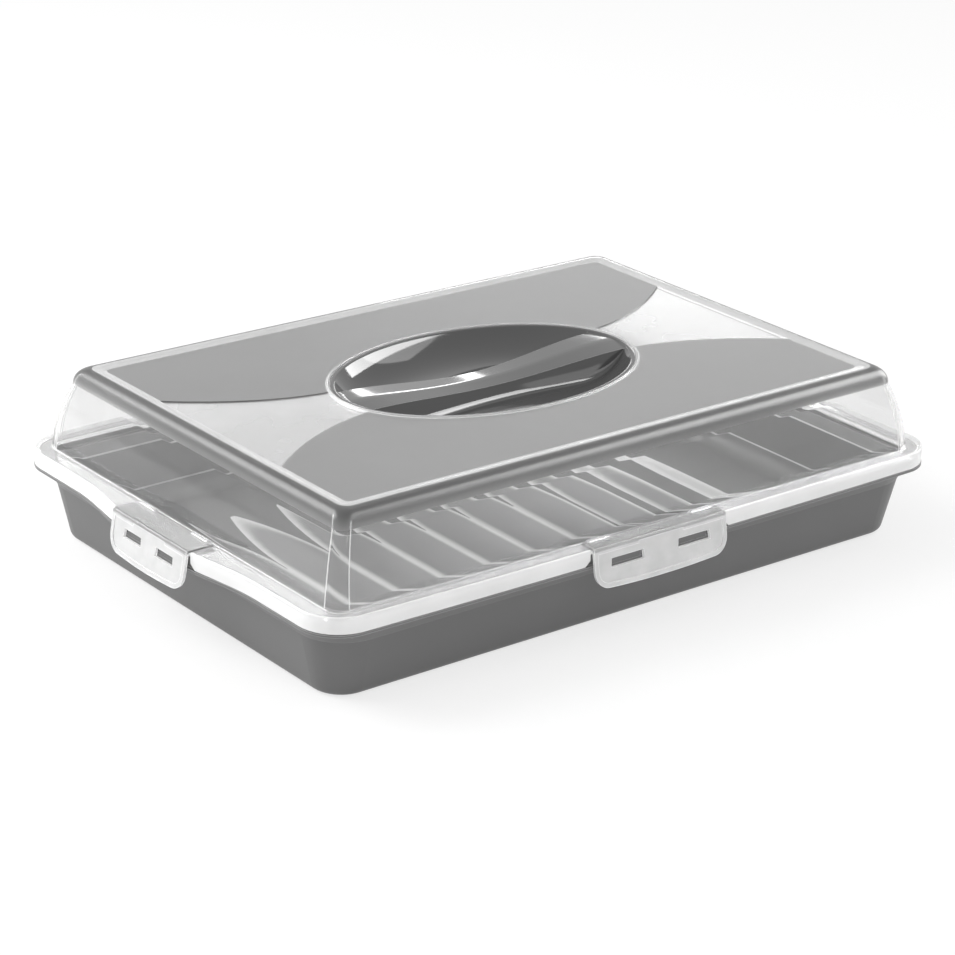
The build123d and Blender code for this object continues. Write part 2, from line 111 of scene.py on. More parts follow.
class LidLook(bpy.types.PropertyGroup):
    """Sizes and colours of the lid."""
    colour: colour_prop("Lid", "#F4F4F4", "Body colour of the clear plastic")
    # Painted shade: the plate's grey stands for the dark tray seen through it
    plate_shade_colour: colour_prop("Plate", "#919191", "Tone of the blasted plate, which swallows some light")
    fan_colour: colour_prop("Fans", "#DEDEDE", "Tone of the fan-shaped panels")
    # Painted shade: the shoulder is dark on its top and lighter at its foot, where the bend turns light away
    shoulder_shade_colour: colour_prop("Shoulder", "#6C6C6C", "Tone of the shoulder's top, which turns light away")
    turn_painted_tone: colour_prop("Shoulder's foot", "#A0A0A0", "Tone of the shoulder's lower edge")
    wall: length_prop("Wall", 1.8, "Thickness of the lid")
    rim_half_x: length_prop("Rim half length", 221.8, "Half length of the rim at its corners")
    rim_half_y: length_prop("Rim half width", 154.9, "Half width of the rim at its corners")
    rim_corner: length_prop("Rim corner", 23.8, "Radius of the rim's corners")
    long_bow: length_prop("Long side bow", 2.4, "How far each long side bows out")
    bay_bow: length_prop("Clip bay bow", 7.2, "How far each short side swells out for its clip")
    bay_flat: length_prop("Clip bay flat", 22.1, "Half length of the swelling's flat middle")
    bay_curve: length_prop("Clip bay curve", 68.0, "Length over which the swelling dies away")
    skirt_z: length_prop("Skirt", 45.3, "Height of the skirt's lower edge")
    flange_z: length_prop("Flange", 53.6, "Height of the flange's top")
    bead: length_prop("Rim bead", 1.4, "Height of the raised edge round the flange")
    foot_half_x: length_prop("Dome half length", 209.4, "Half length of the dome at its foot")
    foot_half_y: length_prop("Dome half width", 145.0, "Half width of the dome at its foot")
    foot_corner: length_prop("Dome corner", 9.0, "Radius of the dome's corners at its foot")
    # Painted highlight: a pale line between wall and rounded corner
    corner_highlight_width: length_prop("Corner line", 0.7, "Width of the pale line between wall and rounded corner")
    line_top_ends: factor_prop("Corner lines, ends", 0.66, "Their end, as a share of the shoulder's rise")
    line_top_sides: factor_prop("Corner lines, sides", 0.42, "The same along the long sides")
    shoulder_corner: length_prop("Shoulder corner", 6.5, "Radius of the dome's corners at its shoulder")
    shoulder_z: length_prop("Shoulder", 93.6, "Height where the wall turns into the shoulder")
    crest_z: length_prop("Crest", 102.9, "Height of the raised border")
    shoulder_run: length_prop("Shoulder run", 8.0, "How far the shoulder comes in")
    crest_width: length_prop("Crest width", 3.0, "Width of the border's flat top")
    slope_run: length_prop("Border slope", 4.0, "Width of the border's inner slope")
    plate_z: length_prop("Plate", 101.8, "Height of the recessed plate")
    border_corner: length_prop("Recess corner", 4.0, "Radius of the recessed plate's corners")
    fan_step: length_prop("Fan step", 0.8, "How far the fan-shaped panels lie below the plate")
    fan_base: length_prop("Fan base", 59.5, "Half width of each fan at the border")
    fan_neck: length_prop("Fan neck", 19.0, "Half width of each fan at the collar")
    fan_pinch: length_prop("Fan pinch", 7.5, "How far each fan's edge bows towards the middle")
    oval_x: length_prop("Oval half length", 101.2, "Half length of the collar round the handle")
    oval_y: length_prop("Oval half width", 68.6, "Half width of the collar round the handle")
    collar_rise: length_prop("Collar rise", 1.0, "Height of the collar above the plate")
    front_bay: length_prop("Front clip bay", 48.8, "Half length of the skirt's gap at the front and back")
    front_edge: length_prop("Front bay edge", 156.0, "Distance of the flange's edge there from the middle")
    side_bay: length_prop("Side clip bay", 38.1, "Half length of the skirt's gap at the side clips")
    side_edge: length_prop("Side bay edge", 227.0, "Distance of the flange's edge there from the middle")
    bay_chamfer: length_prop("Bay chamfer", 3.4, "Size of the cut corners of the skirt beside each clip")
    lug_length: length_prop("Hinge eye length", 15.0, "Length of each eye that holds a clip's pin")
    lug_radius: length_prop("Hinge eye radius", 2.07, "Outer radius of each eye")
    pin_hole: length_prop("Pin hole", 0.97, "Radius of the hole in each eye")
    pin_z: length_prop("Pin height", 55.1, "Height of the clips' pins")
    front_pin: length_prop("Front pins", 149.3, "Distance of the front and back clips' pins from the middle")
    front_eye: length_prop("Front hinge eyes", 37.0, "Distance of these clips' eyes from the clip's middle")
    side_pin: length_prop("Side pins", 213.5, "Distance of the side clips' pins from the middle")
    side_eye: length_prop("Side hinge eyes", 26.5, "Distance of these clips' eyes from the clip's middle")


class HandleLook(bpy.types.PropertyGroup):
    """Sizes and colours of the handle insert."""
    colour: colour_prop("Handle insert", "#484848", "Body colour of the glossy insert")
    # Painted highlight: a paler line along the insert's edges and the ridge's creases
    edge_highlight_colour: colour_prop("Insert's edges", "#A8A8A8", "Paler line along the insert's edges")
    edge_highlight_width: length_prop("Edge line", 0.5, "Width of that line")
    wall: length_prop("Wall", 1.5, "Thickness of the insert")
    rim_x: length_prop("Rim half length", 99.7, "Half length of the rim that lies in the collar")
    rim_y: length_prop("Rim half width", 67.1, "Half width of the rim that lies in the collar")
    rim_z: length_prop("Rim", 102.0, "Height of the rim's top")
    seat_z: length_prop("Seat", 100.2, "Height of the ledge under the rim")
    bowl_x: length_prop("Bowl half length", 98.5, "Half length of the bowl's outside under the rim")
    bowl_y: length_prop("Bowl half width", 65.9, "Half width of the bowl's outside under the rim")
    depth: length_prop("Depth", 15.0, "Depth of the finger pockets")
    curve_run: length_prop("Wall run", 34.0, "Distance from the rim at which the pocket's floor levels out")
    back_end: length_prop("Ridge's back, ends", 18.0, "Distance of the back crease at both ends")
    back_middle: length_prop("Ridge's back, middle", 13.5, "Distance of the back crease in the middle")
    front_end: length_prop("Ridge's front, ends", 15.5, "Distance of the front crease at both ends")
    front_middle: length_prop("Ridge's front, middle", 11.0, "Distance of the front crease in the middle")
    ridge_dip: length_prop("Ridge dip", 5.6, "How far the ridge dips in the middle")
    ridge_crown: length_prop("Ridge crown", 0.8, "Rise of the ridge's crest over its creases")
    foot_round: length_prop("Ridge's foot", 3.0, "Softness of the turn from the ridge's side into the pocket")
    ridge_side: factor_prop("Ridge side", 2.4, "Steepness of the ridge's sides")
    tongue_half: length_prop("Tongue half width", 14.5, "Half width of the tongues that slip under the lid")
    tongue_root: length_prop("Tongue root", 93.0, "Where the tongues start, inside the bowl's wall")
    tongue_reach: length_prop("Tongue reach", 106.1, "How far the tongues reach from the middle")
    tongue_z: length_prop("Tongue", 98.3, "Height of the tongues' top")
    tongue_thick: length_prop("Tongue thickness", 2.0, "Thickness of the tongues")
    hook_half: length_prop("Hook half width", 6.0, "Half width of the hooks at the long sides")
    hook_root: length_prop("Hook root", 64.0, "Where the hooks start, inside the bowl's wall")
    hook_reach: length_prop("Hook reach", 67.4, "How far the hooks reach from the middle")
    hook_thick: length_prop("Hook thickness", 2.4, "Thickness of the hooks")


class ClipLook(bpy.types.PropertyGroup):
    """Sizes and colours of the clips' finish."""
    colour: colour_prop("Clips", "#F2F2F2", "Body colour of the translucent clips")
    # Painted shade: the thin top plate is greyer, standing for the dark tray seen under it
    plate_shade_colour: colour_prop("Top plate", "#B2B2B2", "Tone of the thin top plate over the dark tray")
    plate_z: length_prop("Top plate", 54.5, "Height from which a clip is thin and clear")
    plate_fade: length_prop("Top plate's edge", 1.5, "Height over which milky turns into clear")
    # Painted highlight line along the clips' edges
    edge_highlight_width: length_prop("Edge line", 0.6, "Width of the brighter line along the clips' edges")


class StageLook(bpy.types.PropertyGroup):
    """Sizes and colours of the studio."""
    colour: colour_prop("Floor", "#FFFFFF", "Colour of the floor and the backdrop")
    sky_light: factor_prop("Sky light", 0.62, "Strength of the light from all round")
    floor_half: length_prop("Floor half width", 12000.0, "Half width of the floor")
    lens: bpy.props.FloatProperty(name="Lens", unit="CAMERA", default=111.81,
                                  description="Focal length of the camera on a 36 mm wide sensor")


def add_node(tree, kind, inputs=None, output=0, **settings):
    """Adds a shader node and gives back its first output, or the one that is named. inputs gives each socket
    a value or the output that feeds it."""
    made = tree.nodes.new("ShaderNode" + kind)
    for name, value in settings.items():
        setattr(made, name, value)
    for name, value in (inputs or {}).items():
        if isinstance(value, bpy.types.NodeSocket):
            tree.links.new(value, made.inputs[name])
        else:
            made.inputs[name].default_value = value
    return made.outputs[output] if made.outputs else None


def new_material(name):
    """A node material and its tree, still empty."""
    material = bpy.data.materials.new(name)
    material.use_nodes = True
    material.node_tree.nodes.clear()
    return material, material.node_tree


def rgba(colour):
    return (colour[0], colour[1], colour[2], 1.0)


def finish_node(name, material):
    """Gives a CAD node its material."""
    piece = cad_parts[name]
    for slot in piece.material_slots:
        slot.material = material
    if not piece.material_slots:
        piece.data.materials.append(material)


def drifting(tree, spacing, low, high, detail=3.0):
    """A value that drifts between low and high in soft clouds that far apart: no moulding is quite even."""
    place = add_node(tree, "TexCoord", output="Object")
    cloud = add_node(tree, "TexNoise", {"Vector": place, "Scale": 1 / spacing, "Detail": detail})
    return add_node(tree, "MapRange", {"Value": cloud, "From Min": 0.3, "From Max": 0.7, "To Min": low,
                                       "To Max": high})


def edge_lines(tree, width, flat, bent, samples=6):
    """1 along edges, over that width, and 0 on flats. The line comes in between two cosines of the bend, flat
    and bent."""
    bend = add_node(tree, "Bevel", {"Radius": width}, samples=samples)
    face = add_node(tree, "NewGeometry", output="Normal")
    along = add_node(tree, "VectorMath", {0: bend, 1: face}, output="Value", operation="DOT_PRODUCT")
    return add_node(tree, "MapRange", {"Value": along, "From Min": flat, "From Max": bent})


def clear_surface(tree, shader, share):
    """Ends a clear plastic's material, and lets a share of the lamps' light straight through it."""
    to_lamp = add_node(tree, "LightPath", output="Is Shadow Ray")
    gap = add_node(tree, "BsdfTransparent", {"Color": (share, share, share, 1.0)})
    mixed = add_node(tree, "MixShader", {0: to_lamp, 1: shader, 2: gap})
    add_node(tree, "OutputMaterial", {"Surface": mixed})


def where_all(tree, tests):
    """1 where every test is 1, and 0 elsewhere."""
    held = tests[0]
    for test in tests[1:]:
        held = add_node(tree, "Math", {0: held, 1: test}, operation="MULTIPLY")
    return held


def within(tree, axes, half_x, half_y):
    """Two tests: whether the place lies less than half_x and less than half_y from the middle."""
    tests = []
    for axis, half in (("X", half_x), ("Y", half_y)):
        away = add_node(tree, "Math", {0: axes[axis]}, operation="ABSOLUTE")
        tests.append(add_node(tree, "Math", {0: away, 1: half}, operation="LESS_THAN"))
    return tests


def ribs_and_valleys(tree, look, axes, rise):
    """1 on the floor's ribs and in the narrow valleys between them, where their painted light goes, and 0
    elsewhere.
    """
    over_floor = 0.008 * MM
    under_floor = -0.5 * MM
    on_rib = add_node(tree, "Math", {0: rise, 1: over_floor}, operation="GREATER_THAN")
    low = add_node(tree, "Math", {0: rise, 1: look.rib_height}, operation="LESS_THAN")
    half_pitch = look.valley_pitch / 2
    across = add_node(tree, "Math", {0: axes["X"], 1: look.valley_x + half_pitch}, operation="SUBTRACT")
    across = add_node(tree, "Math", {0: across, 1: look.valley_pitch}, operation="FLOORED_MODULO")
    valley = [add_node(tree, "Math", {0: across, 1: half_pitch, 2: look.valley_half}, operation="COMPARE")]
    for value, test, limit in ((axes["X"], "LESS_THAN", look.valley_end),
                               (axes["Y"], "LESS_THAN", look.valley_back),
                               (rise, "GREATER_THAN", under_floor)):
        valley.append(add_node(tree, "Math", {0: value, 1: limit}, operation=test))
    pale = add_node(tree, "Math", {0: on_rib, 1: where_all(tree, valley)}, operation="MAXIMUM")
    return where_all(tree, [pale, low, *within(tree, axes, look.ribs_half_x, look.ribs_half_y)])


def painted_bend_highlights(tree, look, place, axes, rise):
    """1 along the well's rounding and brim, where the wall bends and a highlight line is painted, and 0 at
    the corners and elsewhere.
    """
    corner = add_node(tree, "VectorMath", {0: place}, operation="ABSOLUTE")
    corner = add_node(tree, "VectorMath", {0: corner, 1: (1, 1, 0)}, output="Value", operation="DOT_PRODUCT")
    lines = ((look.rounding, look.rounding_x, look.rounding_y, look.rounding_corner),
             (look.brim, look.brim_x, look.brim_y, look.brim_corner))
    bends = []
    for height, half_x, half_y, cut in lines:
        level = add_node(tree, "Math", {0: rise, 1: height, 2: look.bend_highlight_half}, operation="COMPARE")
        before = add_node(tree, "Math", {0: corner, 1: cut}, operation="LESS_THAN")
        bends.append(where_all(tree, [level, before, *within(tree, axes, half_x, half_y)]))
    return add_node(tree, "Math", {0: bends[0], 1: bends[1]}, operation="MAXIMUM")


def satin_polypropylene(look):
    """Polypropylene, injection moulded in a spark-eroded mould: a mid grey that is soft and even, with broad
    dull highlights and a grain that is felt more than seen. Ribs, valleys, edges and bends get painted
    highlight: paler colour where light gathers."""
    material, tree = new_material("satin_polypropylene")
    place = add_node(tree, "TexCoord", output="Object")
    axes = add_node(tree, "SeparateXYZ", {0: place}).node.outputs
    rise = add_node(tree, "Math", {0: axes["Z"], 1: look.floor_z}, operation="SUBTRACT")
    # Painted light on the ribs: palest at their edges, where they rise from the floor, and darker on the
    # crown
    crown = add_node(tree, "MapRange", {"Value": rise, "From Min": 0.02 * MM, "From Max": look.rib_edge},
                     interpolation_type="SMOOTHSTEP")
    rib = add_node(tree, "Mix", {0: crown, 6: rgba(look.valley_highlight_colour), 7: rgba(look.rib_crown_light_colour)},
                   output=2, data_type="RGBA")
    # Painted highlight lines along the tray's edges and where the wall bends
    edge = edge_lines(tree, look.edge_highlight_width, 0.995, 0.93, samples=4)
    faint = add_node(tree, "Math", {0: edge, 1: 0.5}, operation="MULTIPLY")
    bend = painted_bend_highlights(tree, look, place, axes, rise)
    line = add_node(tree, "Math", {0: faint, 1: bend}, operation="MAXIMUM")
    edge_highlighted = add_node(tree, "Mix", {0: line, 6: rgba(look.colour), 7: rgba(look.edge_highlight_colour)},
                     output=2, data_type="RGBA")
    body = add_node(tree, "Mix", {0: ribs_and_valleys(tree, look, axes, rise), 6: edge_highlighted, 7: rib},
                    output=2, data_type="RGBA")
    tinted = add_node(tree, "VectorMath", {0: body, "Scale": drifting(tree, 60 * MM, 0.96, 1.04)},
                      operation="SCALE")
    grain = add_node(tree, "TexNoise", {"Vector": place, "Scale": 1 / look.grain, "Detail": 2.0})
    bump = add_node(tree, "Bump", {"Height": grain, "Strength": 0.03, "Distance": 0.02 * MM})
    shader = add_node(tree, "BsdfPrincipled", {"Base Color": tinted, "Roughness": 0.42,
                                               "IOR": POLYPROPYLENE_IOR, "Normal": bump})
    add_node(tree, "OutputMaterial", {"Surface": shader})
    return material


def clear_plastic(name, colour, haze, roughness, passing):
    """Clear polypropylene that scatters one share of the light, haze, and casts a shadow that another share,
    passing, gets through."""
    material, tree = new_material(name)
    clear = drifting(tree, 50 * MM, 1 - haze * 1.08, 1 - haze * 0.92, detail=2.0)
    shader = add_node(tree, "BsdfPrincipled", {"Base Color": rgba(colour), "Roughness": roughness,
                                               "IOR": POLYPROPYLENE_IOR, "Transmission Weight": clear})
    clear_surface(tree, shader, passing)
    return material


def polished_clear_wall(look):
    """Clear polypropylene from a polished mould: nearly glass clear, with hard highlights and faint haze."""
    return clear_plastic("polished_clear_wall", look.colour, haze=0.03, roughness=0.02, passing=0.92)


def blasted_clear_plate(look):
    """Clear polypropylene from a blasted mould: a veil that hides what lies under it, even grey as painted
    shade for the dark tray below.
    """
    return clear_plastic("blasted_clear_plate", look.plate_shade_colour, haze=0.55, roughness=0.40, passing=0.85)


def satin_clear_fan(look):
    """Clear polypropylene from a lightly brushed mould: a bright, smooth sheen over what lies under it."""
    return clear_plastic("satin_clear_fan", look.fan_colour, haze=0.34, roughness=0.18, passing=0.88)


def milky_clear_skirt(look):
    """Clear polypropylene seen edge on: the skirt gathers light and looks milky."""
    return clear_plastic("milky_clear_skirt", look.colour, haze=0.74, roughness=0.10, passing=0.80)


def clear_flange(look):
    """Clear polypropylene from a polished mould, thick and flat, with a little more haze than the wall."""
    return clear_plastic("clear_flange", look.colour, haze=0.18, roughness=0.08, passing=0.88)


def pale_clear_border(look):
    """Clear polypropylene at a tight bend: a pale line painted with extra haze, as a highlight where light
    gathers.
    """
    return clear_plastic("pale_clear_border", look.colour, haze=0.45, roughness=0.08, passing=0.88)


def clear_shoulder_painted_shade(look):
    """Clear polypropylene where the wall rolls over into the top, with painted shade that stands for the bend
    smearing what lies behind into soft grey: darkest right under the border, lighter at the shoulder's foot."""
    under_border = 1.4 * MM
    material = clear_plastic("clear_shoulder_painted_shade", look.shoulder_shade_colour, haze=0.45, roughness=0.28,
                             passing=0.88)
    tree = material.node_tree
    place = add_node(tree, "TexCoord", output="Object")
    height = add_node(tree, "SeparateXYZ", {0: place}, "Z")
    top = look.crest_z - under_border
    up = add_node(tree, "MapRange", {"Value": height, "From Min": look.shoulder_z, "From Max": top},
                  interpolation_type="SMOOTHSTEP")
    # Painted shade, darkest under the border and lighter at the shoulder's foot
    tone = add_node(tree, "Mix", {0: up, 6: rgba(look.turn_painted_tone), 7: rgba(look.shoulder_shade_colour)},
                    output=2, data_type="RGBA")
    shader = next(node for node in tree.nodes if node.type == "BSDF_PRINCIPLED")
    tree.links.new(tone, shader.inputs["Base Color"])
    shader.inputs["Specular IOR Level"].default_value = 0.2
    return material


def gloss_abs(look):
    """ABS, injection moulded in a mirror polished mould: dark grey with crisp white highlights, and a thin
    painted highlight line where the gripping ridge bends."""
    material, tree = new_material("gloss_abs")
    # Painted highlight line along the insert's edges
    edge = edge_lines(tree, look.edge_highlight_width, 0.985, 0.90)
    body = add_node(tree, "Mix", {0: edge, 6: rgba(look.colour), 7: rgba(look.edge_highlight_colour)},
                    output=2, data_type="RGBA")
    shine = drifting(tree, 40 * MM, 0.05, 0.09)
    shader = add_node(tree, "BsdfPrincipled", {"Base Color": body, "Roughness": shine, "IOR": ABS_IOR})
    add_node(tree, "OutputMaterial", {"Surface": shader})
    return material


def natural_polypropylene(look):
    """Uncoloured polypropylene, injection moulded: milky where it is thick, clearer in the thin top plate and
    greyer there, painted shade for the dark tray under it, and brighter along every edge, a painted highlight
    for light that travels inside the plastic and comes out."""
    material, tree = new_material("natural_polypropylene")
    place = add_node(tree, "TexCoord", output="Object")
    height = add_node(tree, "SeparateXYZ", {0: place}, "Z")
    thin = add_node(tree, "MapRange", {"Value": height, "From Min": look.plate_z - look.plate_fade,
                                       "From Max": look.plate_z}, interpolation_type="SMOOTHSTEP")
    # Painted highlight along every edge
    edge = edge_lines(tree, look.edge_highlight_width, 0.98, 0.86)
    milky = drifting(tree, 12 * MM, 0.46, 0.54)
    body = add_node(tree, "Mix", {0: thin, 2: milky, 3: 0.80})
    clear = add_node(tree, "Mix", {0: edge, 2: body, 3: 0.12})
    # Painted shade in the thin plate, and painted highlight along the edges
    tone = add_node(tree, "Mix", {0: thin, 6: rgba(look.colour), 7: rgba(look.plate_shade_colour)},
                    output=2, data_type="RGBA")
    tone = add_node(tree, "Mix", {0: edge, 6: tone, 7: rgba(look.colour)}, output=2, data_type="RGBA")
    shader = add_node(tree, "BsdfPrincipled", {"Base Color": tone, "Roughness": 0.12,
                                               "IOR": POLYPROPYLENE_IOR, "Transmission Weight": clear})
    clear_surface(tree, shader, 0.7)
    return material


def lerp(a, b, share):
    return a + (b - a) * share


def smooth_step(low, high, value):
    """0 below low, 1 above high and a smooth rise between them."""
    share = min(max((value - low) / (high - low), 0.0), 1.0)
    return share * share * (3 - 2 * share)


def mesh_piece(name, points, faces, materials, slots=None, angle=35):
    """A mesh object with smooth shading that stays sharp at edges bent more than angle degrees."""
    mesh = bpy.data.meshes.new(name)
    mesh.from_pydata(points, [], faces)
    for material in materials:
        mesh.materials.append(material)
    if slots:
        mesh.polygons.foreach_set("material_index", slots)
    mesh.polygons.foreach_set("use_smooth", [True] * len(mesh.polygons))
    mesh.set_sharp_from_angle(angle=math.radians(angle))
    if mesh.validate():
        raise RuntimeError(name + " has faces that share an edge twice or cover no area")
    piece = bpy.data.objects.new(name, mesh)
    bpy.context.scene.collection.objects.link(piece)
    return piece


def spread(count, *specials):
    """count even shares from 0 to 1, with the special shares put in where no other is near."""
    shares = [i / (count - 1) for i in range(count)]
    near = 0.45 / (count - 1)
    kept = [share for share in shares
            if share in (0, 1) or all(abs(share - special) > near for special in specials)]
    return sorted(kept + list(specials))


class LidStations:
    """The places round the lid at which each ring has a point, for one quarter and mirrored to the others."""
    # The wall's inward lean, in millimetres for each millimetre of height and for each of its square
    wall_lean = 0.072
    wall_curve = 0.00454
    # Gap between the plate's inner edge and the collar's outline
    plate_gap = 0.5 * MM
    # Share of the way round in which the lines across the plate stop bowing, beyond the fan
    bow_fade = 0.45

    def __init__(self, look):
        self.look = look
        straight_x = look.rim_half_x - look.rim_corner
        straight_y = look.rim_half_y - look.rim_corner
        self.border_x = look.foot_half_x - self.border_inset()
        self.border_y = look.foot_half_y - self.border_inset()
        border_straight = self.border_y - look.border_corner
        self.fan_share = look.fan_base / border_straight
        self.fan_turn = math.atan2(look.fan_base / self.border_y, 1) / (math.pi / 2)
        self.line_share = {"end": 1 - look.corner_highlight_width / straight_y,
                           "long": 1 - look.corner_highlight_width / straight_x}
        beside_fan_edge = (-2.0, -0.9, -0.35, 0.35, 0.9, 2.0)
        fan_edge = [(look.fan_base + step * MM) / border_straight for step in beside_fan_edge]
        side_bay = self.bay_shares(look.side_bay, straight_y)
        front_bay = self.bay_shares(look.front_bay, straight_x)
        end_shares = spread(30, *side_bay, *fan_edge, self.line_share["end"])
        long_shares = spread(34, *front_bay, self.line_share["long"])
        self.quarter = [("end", share) for share in end_shares]
        self.quarter += [("corner", step / 10) for step in range(1, 10)]
        self.quarter += [("long", share) for share in reversed(long_shares)]

    def bay_shares(self, bay, straight):
        """Where a clip's bay ends, as a close pair of places, and where the cut corner beside it ends."""
        close = 0.05 * MM
        return [(bay + step) / straight for step in (-close, close, self.look.bay_chamfer)]

    def border_inset(self):
        """How far the recess's edge lies inside the dome's foot."""
        look = self.look
        return self.shoulder_inset() + look.shoulder_run + look.crest_width + look.slope_run

    def shoulder_inset(self):
        return self.wall_inset(self.look.shoulder_z)

    def wall_inset(self, z):
        """How far the leaning, slightly curved wall lies inside its foot at height z."""
        rise = (z - self.look.flange_z) / MM
        return (self.wall_lean * rise + self.wall_curve * rise * rise) * MM

    def rounded_point(self, station, half_x, half_y, corner):
        """The point of a rounded rectangle at a station of the first quarter."""
        side, share = station
        if side == "end":
            return half_x, share * (half_y - corner)
        if side == "long":
            return share * (half_x - corner), half_y
        angle = share * math.pi / 2
        return half_x - corner + corner * math.cos(angle), half_y - corner + corner * math.sin(angle)

    def rim_point(self, station, inset):
        """The point of the rim's outline, drawn inward by inset."""
        look = self.look
        side, share = station
        half_x = look.rim_half_x - inset
        half_y = look.rim_half_y - inset
        x, y = self.rounded_point(station, half_x, half_y, look.rim_corner - inset)
        if side == "end":
            x += look.bay_bow * (1 - smooth_step(look.bay_flat, look.bay_flat + look.bay_curve, y))
        bow = look.long_bow * (1 - (x / look.rim_half_x) ** 2)
        if side == "long":
            y += bow
        elif side == "corner":
            y += bow * share
        return x, y

    def in_bay(self, station):
        """At a clip, the axis along which the flange is cut back and where its edge lies. None elsewhere."""
        x, y = self.rim_point(station, 0)
        if station[0] == "end" and y < self.look.side_bay:
            return "x", self.look.side_edge
        if station[0] == "long" and x < self.look.front_bay:
            return "y", self.look.front_edge
        return None

    def skirt_low(self, station):
        """The skirt's lower edge at a station: cut away at the clips, with cut corners beside them."""
        look = self.look
        if self.in_bay(station):
            return look.flange_z - look.wall
        x, y = self.rim_point(station, 0)
        past = {"end": y - look.side_bay, "long": x - look.front_bay, "corner": look.bay_chamfer}
        return look.skirt_z + max(look.bay_chamfer - past[station[0]], 0.0)

    def oval_point(self, station, grow):
        """The point of the oval collar's outline that faces a station."""
        angle = self.oval_angle(station)
        return (self.look.oval_x + grow) * math.cos(angle), (self.look.oval_y + grow) * math.sin(angle)

    def turn_of(self, station):
        """How far round the border a station lies: 0 at the end's middle and 1 at the long side's middle."""
        x, y = self.rounded_point(station, self.border_x, self.border_y, self.look.border_corner)
        return math.atan2(y * self.border_x / self.border_y, x) / (math.pi / 2)

    def oval_angle(self, station):
        """The collar's angle that faces a station. The fan's edge meets the collar at the fan's neck."""
        neck = math.asin(self.look.fan_neck / self.look.oval_y)
        turn = self.turn_of(station)
        if turn < self.fan_turn:
            return neck * turn / self.fan_turn
        return lerp(neck, math.pi / 2, (turn - self.fan_turn) / (1 - self.fan_turn))

    def pinch(self, station):
        """How strongly the line from border to collar bows towards the middle: most at the fan's edge."""
        past_fan = self.turn_of(station) - self.fan_turn
        return 1 + past_fan / self.fan_turn if past_fan < 0 else max(0.0, 1 - past_fan / self.bow_fade)

    def in_fan(self, station):
        return station[0] == "end" and station[1] < self.fan_share

    def in_corner_line(self, station):
        """Whether a station lies on the narrow strip where a flat wall meets its rounded corner."""
        side, share = station
        return side in self.line_share and share > self.line_share[side] - 1e-6

    def plate_point(self, station, share, grow):
        """A point on the line from the border, at 0, to the collar, at 1."""
        corner = self.look.border_corner + grow
        border = self.rounded_point(station, self.border_x + grow, self.border_y + grow, corner)
        collar = self.oval_point(station, self.plate_gap)
        x, y = (lerp(a, b, share) for a, b in zip(border, collar))
        return x, y - self.look.fan_pinch * 4 * share * (1 - share) * self.pinch(station)

    def station_at(self, i, count):
        """The station of point i in a ring of count points, mirrored into the first quarter."""
        middle = 2 * len(self.quarter) - 2
        i = i if i <= middle else count - i
        return self.quarter[min(i, middle - i)]

    def loop(self, point_at):
        """A closed ring: point_at gives the first quarter's points, which are mirrored into the others."""
        first = [point_at(station) for station in self.quarter]
        second = [(-x, y, z) for x, y, z in reversed(first[:-1])]
        half = first + second
        return half + [(x, -y, z) for x, y, z in reversed(half[1:-1])]


